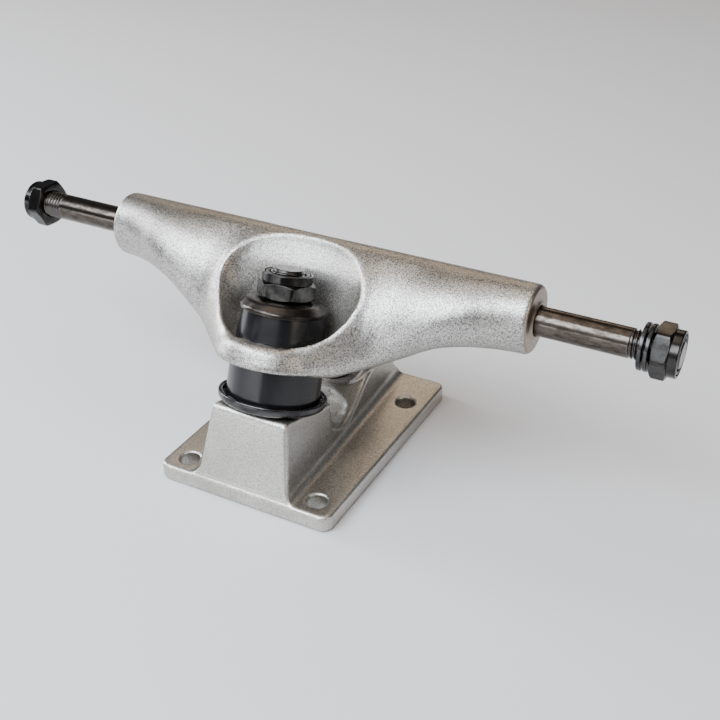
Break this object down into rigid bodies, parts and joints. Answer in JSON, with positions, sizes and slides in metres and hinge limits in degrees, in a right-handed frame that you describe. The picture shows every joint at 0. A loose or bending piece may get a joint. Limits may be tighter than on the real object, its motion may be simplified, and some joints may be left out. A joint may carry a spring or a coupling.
{
  "type": "skateboard_truck",
  "caption": "Skateboard truck: a cast hanger with its axle steers on a kingpin between two rubber bushings and in a pivot cup, on a plate that bolts to the deck.",
  "frame": {"origin": "The centre of the four deck bolt holes, on the face of the baseplate that lies against the deck", "axes": "+X runs along the axle, -Y is the kingpin end, +Y is the pivot end, +Z points away from the deck"},
  "size_m": [0.2032, 0.0755, 0.0624],
  "materials": {
    "plate_aluminium": "satin",
    "hanger_aluminium": "blasted casting",
    "axle_steel": "dark heat-treated",
    "black_steel": "black plated",
    "brown_steel": "dark brown plated",
    "black_rubber": "glossy urethane",
    "black_nylon": "moulded"
  },
  "bodies": {
    "base": {"baseplate": "plate_aluminium", "pivot_cup": "black_rubber", "kingpin": "black_steel", "bottom_washer": "black_steel", "bottom_bushing": "black_rubber", "top_bushing": "black_rubber", "top_washer": "brown_steel", "kingpin_nut": "black_steel", "kingpin_nut_insert": "black_nylon"},
    "steering_hanger": {"hanger": "hanger_aluminium", "axle": "axle_steel", "axle_nut_left": "black_steel", "axle_nut_left_insert": "black_nylon", "axle_nut_right": "black_steel", "axle_nut_right_insert": "black_nylon"},
    "inner_washer": {"speed_washer_inner": "black_steel"},
    "outer_washer": {"speed_washer_outer": "black_steel"}
  },
  "joints": [
    {"name": "hanger_steer", "type": "hinge", "parent": "base", "child": "steering_hanger", "pos_m": [0, 0.02062, 0.02067], "axis": [0, -0.866, 0.5], "range_deg": [-20, 20], "stiffness_Nm_per_rad": 20, "deforming": ["bottom_bushing", "top_bushing"]},
    {"name": "inner_washer_spin", "type": "hinge", "parent": "steering_hanger", "child": "inner_washer", "pos_m": [0.0922, 0.0108, 0.053], "axis": [1, 0, 0], "continuous": true},
    {"name": "outer_washer_spin", "type": "hinge", "parent": "steering_hanger", "child": "outer_washer", "pos_m": [0.0938, 0.0108, 0.053], "axis": [1, 0, 0], "continuous": true}
  ]
}
